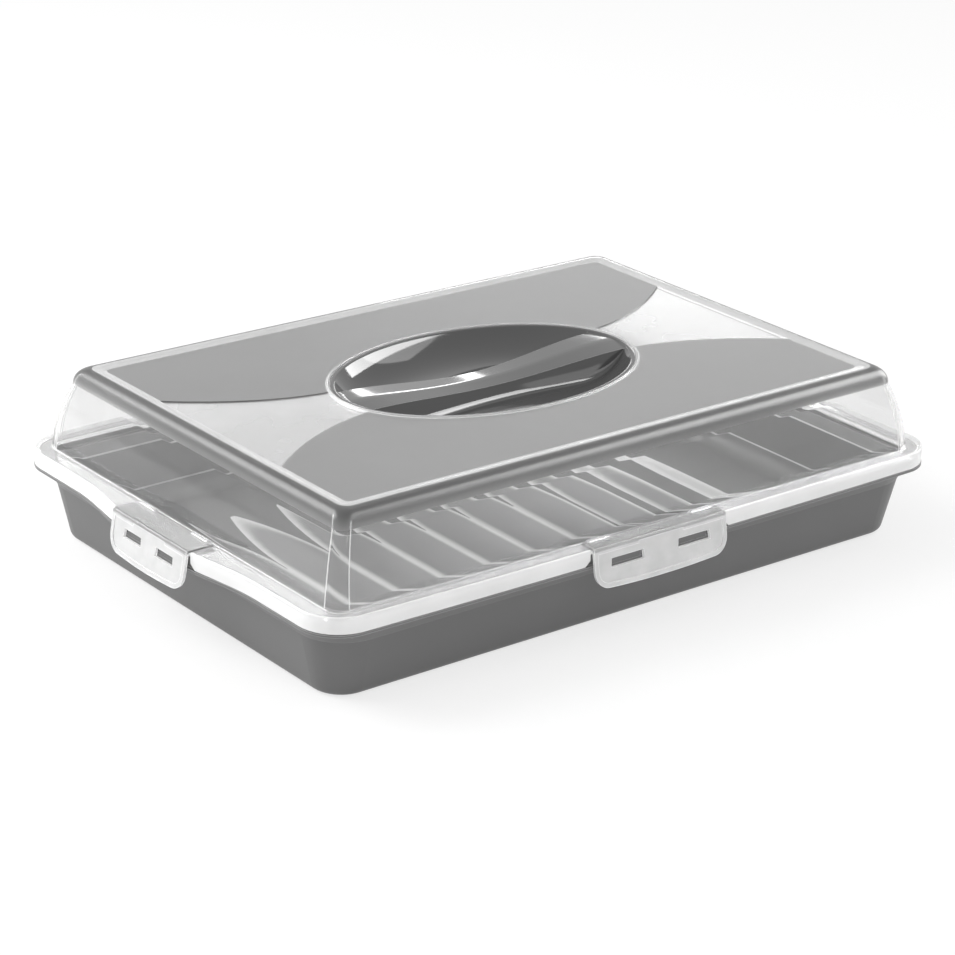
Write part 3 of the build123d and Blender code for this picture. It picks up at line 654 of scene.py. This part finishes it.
def lid_rings(look):
    """The lid's rings, from the skirt's lower edge over the dome to the collar and back underneath, each with
    the kind of the band that ends at it: rim, flange, wall, turn, shoulder, border or plate. The turn is the
    lower part of the shoulder."""
    at = LidStations(look)
    rings = []

    def add(kind, point_at):
        rings.append((kind, at.loop(point_at)))

    def rim(kind, inset, z):
        """A ring that follows the rim, and the flange's straight edge where a clip hangs."""
        def point_at(station):
            x, y = at.rim_point(station, inset)
            height = max(z, at.skirt_low(station))
            bay = at.in_bay(station)
            if bay:
                height = min(height, look.flange_z)
                x, y = (min(x, bay[1]), y) if bay[0] == "x" else (x, min(y, bay[1]))
            return x, y, height
        add(kind, point_at)

    def dome(kind, inset, z, corner):
        """A ring round the dome, drawn in from its foot."""
        half_x = look.foot_half_x - inset
        half_y = look.foot_half_y - inset
        add(kind, lambda station: (*at.rounded_point(station, half_x, half_y, corner), z))

    def wall(z, inner=0.0):
        """A ring on the leaning wall, on its outside or that far inside it."""
        rise = (z - look.flange_z) / (look.shoulder_z - look.flange_z)
        corner = lerp(look.foot_corner, look.shoulder_corner, rise)
        dome("wall", at.wall_inset(z) + inner, z, corner - inner / 2)

    def arc(kind, below, above, inner=0.0):
        """A ring on the shoulder's arc, by shares of the angle below and above the corner lines' top."""
        def point_at(station):
            side, share = station
            to_side = {"end": 0.0, "long": 1.0}.get(side, share)
            top = math.asin(lerp(look.line_top_ends, look.line_top_sides, to_side))
            angle = top * below + (math.pi / 2 - top) * above
            inset = at.shoulder_inset() + inner + (look.shoulder_run - inner) * (1 - math.cos(angle))
            point = at.rounded_point(station, look.foot_half_x - inset, look.foot_half_y - inset,
                                     look.shoulder_corner - inner / 2)
            return *point, look.shoulder_z + (look.crest_z - look.shoulder_z - inner) * math.sin(angle)
        add(kind, point_at)

    def plate(kind, share, z, grow=0.0):
        """A ring across the recessed plate, between border and collar, lower in the fans."""
        def point_at(station):
            drop = look.fan_step if at.in_fan(station) else 0.0
            return *at.plate_point(station, share, grow), z - drop
        add(kind, point_at)

    def oval(kind, grow, z):
        """A ring on the collar."""
        add(kind, lambda station: (*at.oval_point(station, grow), z))

    # The skirt, the raised edge and the flange
    skirt_round = 0.35 * MM
    rim_round = 0.9 * MM
    bead_z = look.flange_z + look.bead
    bead_slope = ((2.2, bead_z), (2.7, bead_z - 0.25 * MM), (3.0, look.flange_z + 0.4 * MM),
                  (3.4, look.flange_z))
    rim("rim", skirt_round, look.skirt_z)
    rim("rim", 0.0, look.skirt_z + skirt_round)
    for step in range(5):
        angle = math.pi / 2 * step / 4
        rim("rim", rim_round * (1 - math.cos(angle)), bead_z - rim_round * (1 - math.sin(angle)))
    for inset, z in bead_slope:
        rim("flange", inset * MM, z)

    # The rounded foot of the dome, and its wall
    foot_round = 1.1 * MM
    for step in range(4):
        angle = math.pi / 2 * step / 3
        out = foot_round * (1 - math.sin(angle))
        dome("flange", -out, look.flange_z + foot_round * (1 - math.cos(angle)), look.foot_corner + out)
    first_z = look.flange_z + foot_round + 0.25 * MM
    for step in range(15):
        wall(lerp(first_z, look.shoulder_z, step / 14))

    # The rounded shoulder, with a narrow band over the corner lines' top
    narrow = 0.08
    for step in range(1, 6):
        arc("turn", step / 5, 0)
    arc("turn", 1, narrow)
    for step in range(1, 7):
        arc("shoulder", 1, lerp(narrow, 1, step / 6))

    # The raised border and the recessed plate
    blend = 0.12 * MM
    crest_inset = at.shoulder_inset() + look.shoulder_run
    dome("border", crest_inset + look.crest_width * 0.8, look.crest_z, look.shoulder_corner - 0.5 * MM)
    dome("border", crest_inset + look.crest_width * 1.1, look.crest_z - blend, look.shoulder_corner - 1 * MM)
    dome("border", at.border_inset() - 0.5 * MM, look.plate_z + blend, look.border_corner + 0.5 * MM)
    plate("border", 0.0, look.plate_z)
    start, end = 0.008, 0.992
    for step in range(14):
        plate("plate", lerp(start, end, step / 13), look.plate_z)

    # The collar: millimetres outside its outline, and shares of its rise
    for kind, grow, rise in (("border", 0.15, 0.1), ("border", 0.0, 0.35), ("border", 0.0, 0.75),
                             ("border", -0.2, 0.95), ("border", -0.4, 1.0), ("shoulder", -0.9, 0.97),
                             ("border", -1.1, 0.75)):
        oval(kind, grow * MM, look.plate_z + rise * look.collar_rise)

    # The ledge that carries the insert, from above and then from below
    under_z = look.plate_z - look.wall
    ledge_drop = 1.6 * MM
    ledge_z = look.plate_z - ledge_drop
    ledge_under_z = under_z - ledge_drop
    for grow, z in ((-1.2, ledge_z), (-2.4, ledge_z), (-2.4, ledge_under_z), (0.0, ledge_under_z),
                    (0.3, under_z - 1.3 * MM)):
        oval("border", grow * MM, z)

    # The underside, back to the skirt
    inner = look.wall
    for step in range(8):
        plate("plate", lerp(end, start, step / 7), under_z)
    plate("plate", 0.0, under_z, inner / 2)
    for step in range(5, -1, -1):
        arc("shoulder", 1, step / 6, inner)
    for step in range(5, -1, -1):
        arc("turn" if step else "wall", step / 6, 0, inner)
    for step in range(13, -1, -1):
        wall(lerp(look.flange_z, look.shoulder_z, step / 14), inner)
    under_flange = look.flange_z - look.wall
    corner_cut = 0.6 * MM
    dome("flange", inner - 0.3 * MM, under_flange, look.foot_corner)
    rim("flange", inner + corner_cut, under_flange)
    rim("rim", inner, under_flange - corner_cut)
    rim("rim", inner, look.skirt_z + skirt_round)
    rim("rim", inner - skirt_round, look.skirt_z)
    return at, rings


def lid_finish(at, kind, stations):
    """The finish of the lid's face between two stations, in a band of that kind."""
    in_fan = [at.in_fan(station) for station in stations]
    if kind == "plate" and any(in_fan):
        return "fan" if all(in_fan) else "shoulder"
    # The narrow corner lines take the border's finish, a painted highlight
    if kind in ("wall", "turn") and all(at.in_corner_line(station) for station in stations):
        return "border"
    return "shoulder" if kind == "turn" else kind


def band_faces(rings, count):
    """The faces between each ring and the next, and from the last ring back to the first."""
    faces = []
    for band in range(len(rings)):
        here = band * count
        there = ((band + 1) % len(rings)) * count
        for i in range(count):
            j = (i + 1) % count
            faces.append((here + i, here + j, there + j, there + i))
    return faces


def tidy_mesh(piece):
    """Joins points that lie on each other, drops faces that cover nothing and turns all faces outward."""
    work = bmesh.new()
    work.from_mesh(piece.data)
    bmesh.ops.remove_doubles(work, verts=work.verts, dist=0.004 * MM)
    bmesh.ops.dissolve_degenerate(work, edges=work.edges, dist=0.002 * MM)
    bmesh.ops.recalc_face_normals(work, faces=work.faces)
    work.to_mesh(piece.data)
    work.free()


def hinge_eye(look, centre_x, axis_y):
    """Points and faces of one eye on the flange, with a round hole for a pin, drawn for the front clip."""
    count = 28
    round_edge = 0.3 * MM
    end_scale = 0.86
    sink = 0.3 * MM
    depth = look.pin_z - look.flange_z + sink
    outer = []
    inner = []
    for i in range(count):
        angle = 2 * math.pi * i / count
        y = math.cos(angle)
        z = math.sin(angle)
        inner.append((y * look.pin_hole, z * look.pin_hole))
        if z < 0:
            reach = look.lug_radius / max(abs(y), abs(z) * look.lug_radius / depth)
            outer.append((y * reach, max(z * reach, -depth)))
        else:
            outer.append((y * look.lug_radius, z * look.lug_radius))
    half = look.lug_length / 2
    rings = []
    for x, loop, scale in ((-half, inner, 1), (-half, outer, end_scale), (-half + round_edge, outer, 1),
                           (half - round_edge, outer, 1), (half, outer, end_scale), (half, inner, 1)):
        rings.append([(centre_x + x, -axis_y + y * scale, look.pin_z + z * scale) for y, z in loop])
    return [point for ring in rings for point in ring], band_faces(rings, count)


def turned(points, quarter_turns):
    """Points turned about the upright axis."""
    for _ in range(quarter_turns):
        points = [(-y, x, z) for x, y, z in points]
    return points


class InsertShape:
    """The handle insert's upper side as a height over the plan."""
    # Width of the rim round the pockets, and how far their edge and the ridge's ends lie under its top
    rim_width = 2.7 * MM
    pocket_drop = 0.3 * MM
    ridge_drop = 0.6 * MM
    # How steeply a pocket's wall starts: 1 would be a straight slope
    wall_power = 2.6
    # The most that the turn at the ridge's foot is softened, as a share of the depth there
    soft_share = 0.22

    def __init__(self, look):
        self.look = look
        self.edge_x = look.rim_x - self.rim_width
        self.edge_y = look.rim_y - self.rim_width

    def pocket(self, x, y):
        """The finger pockets' floor."""
        look = self.look
        share = math.hypot(x / self.edge_x, y / self.edge_y)
        if share < 1e-6:
            return look.rim_z - look.depth
        from_edge = max(0.0, 1 - share) * math.hypot(x, y) / share
        slope = (1 - min(from_edge / look.curve_run, 1)) ** self.wall_power
        return look.rim_z - self.pocket_drop - look.depth * (1 - slope)

    def blend(self, x):
        """0 at both ends of the insert and 1 in its middle."""
        return math.cos(math.pi * min(abs(x) / self.edge_x, 1) / 2) ** 2

    def ridge_reach(self, x, side, inset):
        """How far a crease of the ridge lies from its crest line: the back one where side is above 0."""
        look = self.look
        end, middle = (look.back_end, look.back_middle) if side > 0 else (look.front_end, look.front_middle)
        return lerp(end, middle, self.blend(x)) - inset

    def ridge(self, x, y, inset):
        """The gripping ridge: a very low roof with a crest line and a crease along each side."""
        look = self.look
        top = look.rim_z - self.ridge_drop - look.ridge_dip * self.blend(x)
        out = abs(y)
        reach = self.ridge_reach(x, y, inset)
        if out < reach:
            return top - look.ridge_crown * out / reach
        return top - look.ridge_crown - (out - reach) * look.ridge_side

    def height(self, x, y, inset=0.0):
        """The higher of pocket and ridge, with a soft turn between them."""
        a = self.pocket(x, y)
        b = self.ridge(x, y, inset)
        soft = min(self.look.foot_round, self.soft_share * (self.look.rim_z - a))
        return (a + b + math.sqrt((a - b) ** 2 + soft * soft)) / 2

    def foot(self, x, side, inset):
        """How far from the crest line the ridge's side meets the pocket's floor, found by halving."""
        near = self.ridge_reach(x, side, inset)
        far = near + 20 * MM
        for _ in range(24):
            middle = (near + far) / 2
            if self.ridge(x, side * middle, inset) > self.pocket(x, side * middle):
                near = middle
            else:
                far = middle
        return near

    def row(self, x, inset):
        """Places across the insert at x, from front edge to back edge, with one on each line of the ridge."""
        edge = self.edge_y * math.sqrt(max(0.0, 1 - (x / self.edge_x) ** 2))
        halves = []
        for side in (-1, 1):
            crease = self.ridge_reach(x, side, inset)
            foot = self.foot(x, side, inset)
            outs = [crease * step / 5 for step in range(1, 5)]
            outs += [crease - 0.25 * MM, crease, crease + 0.12 * MM]
            outs += [lerp(crease, foot, share) for share in (0.35, 0.7, 1.0)]
            outs += [lerp(foot, edge, step / 30) for step in range(1, 30)] + [edge - 0.3 * MM, edge]
            halves.append([side * min(out, edge) for out in outs])
        return list(reversed(halves[0])) + [0.0] + halves[1]


def insert_side(shape, turns, inset, grow, drop):
    """One side of the insert: its points, row by row, the faces between the rows and the points in a row."""
    points = []
    for turn in turns:
        x = shape.edge_x * math.cos(turn)
        points += [(x * grow, y * grow, shape.height(x, y, inset) - drop) for y in shape.row(x, inset)]
    width = len(points) // len(turns)
    faces = []
    for row in range(len(turns) - 1):
        for i in range(width - 1):
            at = row * width + i
            faces.append((at, at + 1, at + width + 1, at + width))
    return points, faces, width


def insert_mesh(look):
    """Points and faces of the handle insert: upper side, rim and underside."""
    shape = InsertShape(look)
    count = 181
    turns = [math.pi * i / (count - 1) for i in range(count)]
    round_turns = turns + [2 * math.pi - turn for turn in reversed(turns[1:-1])]
    top, top_faces, width = insert_side(shape, turns, 0.0, 1.0, 0.0)
    grow = look.bowl_x / shape.edge_x
    under, under_faces, under_width = insert_side(shape, turns, look.wall, grow, look.wall)

    def border(points, width):
        """The edge of one side, once round."""
        rows = [points[i * width:(i + 1) * width] for i in range(count)]
        return [row[-1] for row in rows] + [row[0] for row in reversed(rows[1:-1])]

    def oval(half_x, half_y, z):
        return [(half_x * math.cos(turn), half_y * math.sin(turn), z) for turn in round_turns]

    rings = [border(under, under_width), oval(look.bowl_x, look.bowl_y, look.seat_z)]
    # The rim's section, in millimetres inside its outline and under its top
    section = ((0.0, 1.8), (0.0, 0.5), (0.15, 0.15), (0.5, 0.0), (1.7, 0.0), (2.2, 0.06), (2.5, 0.2))
    for inset, drop in section:
        rings.append(oval(look.rim_x - inset * MM, look.rim_y - inset * MM, look.rim_z - drop * MM))
    rings.append(border(top, width))
    rim = [point for ring in rings for point in ring]
    rim_faces = band_faces(rings, len(round_turns))[:-len(round_turns)]
    return join_parts([(top, top_faces), (under, under_faces), (rim, rim_faces)])


def rounded_block(low, high, edge):
    """Points and faces of a small block with rounded edges."""
    work = bmesh.new()
    bmesh.ops.create_cube(work, size=1)
    for vert in work.verts:
        vert.co = [lerp(a, b, c + 0.5) for a, b, c in zip(low, high, vert.co)]
    bmesh.ops.bevel(work, geom=work.edges, offset=edge, segments=3, affect="EDGES", profile=0.5)
    work.verts.index_update()
    points = [tuple(vert.co) for vert in work.verts]
    faces = [tuple(vert.index for vert in face.verts) for face in work.faces]
    work.free()
    return points, faces


def join_parts(parts):
    """One list of points and one of faces from several."""
    points, faces = [], []
    for more_points, more_faces in parts:
        faces += [tuple(i + len(points) for i in face) for face in more_faces]
        points += more_points
    return points, faces


class CAKEBOX_OT_lid(bpy.types.Operator):
    """Mould the clear lid: rim, dome, raised border, plate, fans, collar and hinge eyes"""
    bl_idname = "cakebox.lid"
    bl_label = "Lid"

    def execute(self, context):
        look = context.scene.cakebox_lid
        finishes = {"rim": milky_clear_skirt, "wall": polished_clear_wall, "border": pale_clear_border,
                    "plate": blasted_clear_plate, "fan": satin_clear_fan, "shoulder": clear_shoulder_painted_shade,
                    "flange": clear_flange}
        slot_of = {finish: slot for slot, finish in enumerate(finishes)}
        at, rings = lid_rings(look)
        count = len(rings[0][1])
        slots = []
        for kind, loop in rings[1:] + rings[:1]:
            for i in range(count):
                stations = [at.station_at(k, count) for k in (i, (i + 1) % count)]
                slots.append(slot_of[lid_finish(at, kind, stations)])
        parts = [([point for kind, loop in rings for point in loop], band_faces(rings, count))]
        hinges = (((0, 2), look.front_eye, look.front_pin), ((1, 3), look.side_eye, look.side_pin))
        for turns, eye, pin in hinges:
            for turn in turns:
                for side in (1, -1):
                    points, faces = hinge_eye(look, side * eye, pin)
                    parts.append((turned(points, turn), faces))
        points, faces = join_parts(parts)
        slots += [slot_of["flange"]] * (len(faces) - len(slots))
        lid = mesh_piece("lid_shell", points, faces, [make(look) for make in finishes.values()], slots)
        tidy_mesh(lid)
        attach(lid, "lid")
        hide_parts("lid")
        return {"FINISHED"}


class CAKEBOX_OT_handle(bpy.types.Operator):
    """Mould the handle insert: rim, finger pockets, gripping ridge, tongues and hooks"""
    bl_idname = "cakebox.handle"
    bl_label = "Handle insert"

    def execute(self, context):
        look = context.scene.cakebox_handle
        round_edge = 0.3 * MM
        parts = [insert_mesh(look)]
        for side in (1, -1):
            near, far = sorted((side * look.tongue_root, side * look.tongue_reach))
            low = (near, -look.tongue_half, look.tongue_z - look.tongue_thick)
            parts.append(rounded_block(low, (far, look.tongue_half, look.tongue_z), round_edge))
            near, far = sorted((side * look.hook_root, side * look.hook_reach))
            low = (-look.hook_half, near, look.tongue_z - look.hook_thick)
            parts.append(rounded_block(low, (look.hook_half, far, look.tongue_z), round_edge))
        points, faces = join_parts(parts)
        insert = mesh_piece("handle_bowl", points, faces, [gloss_abs(look)], angle=40)
        tidy_mesh(insert)
        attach(insert, "lid")
        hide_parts("handle_insert")
        return {"FINISHED"}


class CAKEBOX_OT_tray(bpy.types.Operator):
    """Finish the tray in satin polypropylene"""
    bl_idname = "cakebox.tray"
    bl_label = "Tray"

    def execute(self, context):
        finish_node("tray", satin_polypropylene(context.scene.cakebox_tray))
        return {"FINISHED"}


class CAKEBOX_OT_clips(bpy.types.Operator):
    """Finish the four clips in natural polypropylene"""
    bl_idname = "cakebox.clips"
    bl_label = "Clips"

    def execute(self, context):
        material = natural_polypropylene(context.scene.cakebox_clips)
        for name in CLIPS:
            finish_node(name, material)
        return {"FINISHED"}


def seen_directly(tree):
    """1 for rays from the camera, a reflection or glass, and 0 for rays that only carry light."""
    path = add_node(tree, "LightPath").node.outputs
    share = path["Is Camera Ray"]
    for name in ("Is Glossy Ray", "Is Transmission Ray"):
        share = add_node(tree, "Math", {0: share, 1: path[name]}, operation="MAXIMUM")
    return share


def painted_floor(look):
    """Matt white paint on board: white wherever it is seen, with the object's soft shadow on it."""
    glow_share = 0.7
    material, tree = new_material("painted_floor")
    paint = add_node(tree, "BsdfDiffuse", {"Color": rgba(look.colour)})
    glow = add_node(tree, "Emission", {"Color": rgba(look.colour), "Strength": 1.0})
    shown = add_node(tree, "MixShader", {0: glow_share, 1: paint, 2: glow})
    mixed = add_node(tree, "MixShader", {0: seen_directly(tree), 1: paint, 2: shown})
    add_node(tree, "OutputMaterial", {"Surface": mixed})
    return material


def make_lamp(name, place, target, size, watts, along=(0, 0, 0), sheen_only=False):
    """A soft area lamp that faces its target, its long side level or along a given direction. One for sheen
    only shows in the highlights and leaves the rest of the light as it is."""
    data = bpy.data.lights.new(name, "AREA")
    data.shape = "RECTANGLE"
    data.size, data.size_y = size
    data.energy = watts
    lamp = bpy.data.objects.new(name, data)
    lamp.location = place
    lamp.visible_diffuse = not sheen_only
    back = (Vector(place) - Vector(target)).normalized()
    side = Vector(along) if Vector(along).length else Vector((0, 0, 1)).cross(back)
    side = (side - back * side.dot(back)).normalized()
    lamp.rotation_euler = Matrix((side, back.cross(side), back)).transposed().to_euler()
    bpy.context.scene.collection.objects.link(lamp)


class CAKEBOX_OT_stage(bpy.types.Operator):
    """Set the floor, the lamps, the sky and the camera"""
    bl_idname = "cakebox.stage"
    bl_label = "Stage"

    def execute(self, context):
        look = context.scene.cakebox_stage
        half = look.floor_half
        mesh = bpy.data.meshes.new("floor")
        corners = [(-half, -half, 0), (half, -half, 0), (half, half, 0), (-half, half, 0)]
        mesh.from_pydata(corners, [], [(0, 1, 2, 3)])
        mesh.materials.append(painted_floor(look))
        floor = bpy.data.objects.new("floor", mesh)
        context.scene.collection.objects.link(floor)

        middle = (0, 0, 0.05)
        lid_top = (0, 0, 0.1)
        make_lamp("lamp_left_back", (-0.9, 0.95, 1.0), middle, (1.0, 0.9), 22)
        make_lamp("lamp_front", (0.6, -2.2, 1.5), middle, (1.6, 1.0), 7)
        make_lamp("lamp_right", (1.6, -0.6, 1.5), lid_top, (1.0, 1.0), 9)
        # The sheen on the fans and the dish, and the thin light along the back
        make_lamp("strip_right", (1.55, -0.55, 1.0), lid_top, (2.0, 0.9), 55, (-0.52, -0.75, 0.45), True)
        make_lamp("strip_low_back", (1.56, 1.62, 0.66), lid_top, (0.8, 0.08), 1.7, sheen_only=True)

        world = bpy.data.worlds.new("studio")
        world.use_nodes = True
        tree = world.node_tree
        tree.nodes.clear()
        strength = add_node(tree, "MapRange", {"Value": seen_directly(tree), "To Min": look.sky_light,
                                               "To Max": 1.0})
        sky = add_node(tree, "Background", {"Color": rgba(look.colour), "Strength": strength})
        add_node(tree, "OutputWorld", {"Surface": sky})
        context.scene.world = world
        context.scene.view_settings.view_transform = "Standard"

        camera = bpy.data.objects.new("camera", bpy.data.cameras.new("camera"))
        context.scene.collection.objects.link(camera)
        place = (-1.0108, -1.2689, 0.6891)
        yaw, pitch, roll = (math.radians(angle) for angle in (38.50, 22.01, 1.61))
        ahead = Vector((math.sin(yaw) * math.cos(pitch), math.cos(yaw) * math.cos(pitch), -math.sin(pitch)))
        level = Vector((math.cos(yaw), -math.sin(yaw), 0))
        upright = level.cross(ahead)
        right = level * math.cos(roll) + upright * math.sin(roll)
        up = upright * math.cos(roll) - level * math.sin(roll)
        camera.matrix_world = Matrix.Translation(place) @ Matrix((right, up, -ahead)).transposed().to_4x4()
        camera.data.sensor_width = 36
        camera.data.lens = look.lens
        camera.data.shift_x = -0.0028
        camera.data.shift_y = 0.0003
        camera.data.clip_start = 0.05
        camera.data.clip_end = 100
        context.scene.camera = camera
        return {"FINISHED"}


class CAKEBOX_PT_panel(bpy.types.Panel):
    """Lists the container's pieces, with a button for each"""
    bl_idname = "CAKEBOX_PT_panel"
    bl_label = "Cake container"
    bl_space_type = "VIEW_3D"
    bl_region_type = "UI"
    bl_category = "Cake container"

    def draw(self, context):
        for name in ("tray", "lid", "handle", "clips", "stage"):
            box = self.layout.box()
            look = getattr(context.scene, "cakebox_" + name)
            for prop in look.bl_rna.properties:
                if prop.identifier not in ("rna_type", "name"):
                    box.prop(look, prop.identifier)
            box.operator("cakebox." + name)


LOOKS = {"cakebox_tray": TrayLook, "cakebox_lid": LidLook, "cakebox_handle": HandleLook,
         "cakebox_clips": ClipLook, "cakebox_stage": StageLook}
CLASSES = (*LOOKS.values(), CAKEBOX_OT_tray, CAKEBOX_OT_lid, CAKEBOX_OT_handle, CAKEBOX_OT_clips,
           CAKEBOX_OT_stage, CAKEBOX_PT_panel)


def register():
    for item in CLASSES:
        bpy.utils.register_class(item)
    for name, look in LOOKS.items():
        setattr(bpy.types.Scene, name, bpy.props.PointerProperty(type=look))


def unregister():
    for name in LOOKS:
        delattr(bpy.types.Scene, name)
    for item in reversed(CLASSES):
        bpy.utils.unregister_class(item)


def main():
    register()
    bpy.ops.cakebox.tray()
    bpy.ops.cakebox.lid()
    bpy.ops.cakebox.handle()
    bpy.ops.cakebox.clips()
    bpy.ops.cakebox.stage()


if __name__ == "__main__":
    main()
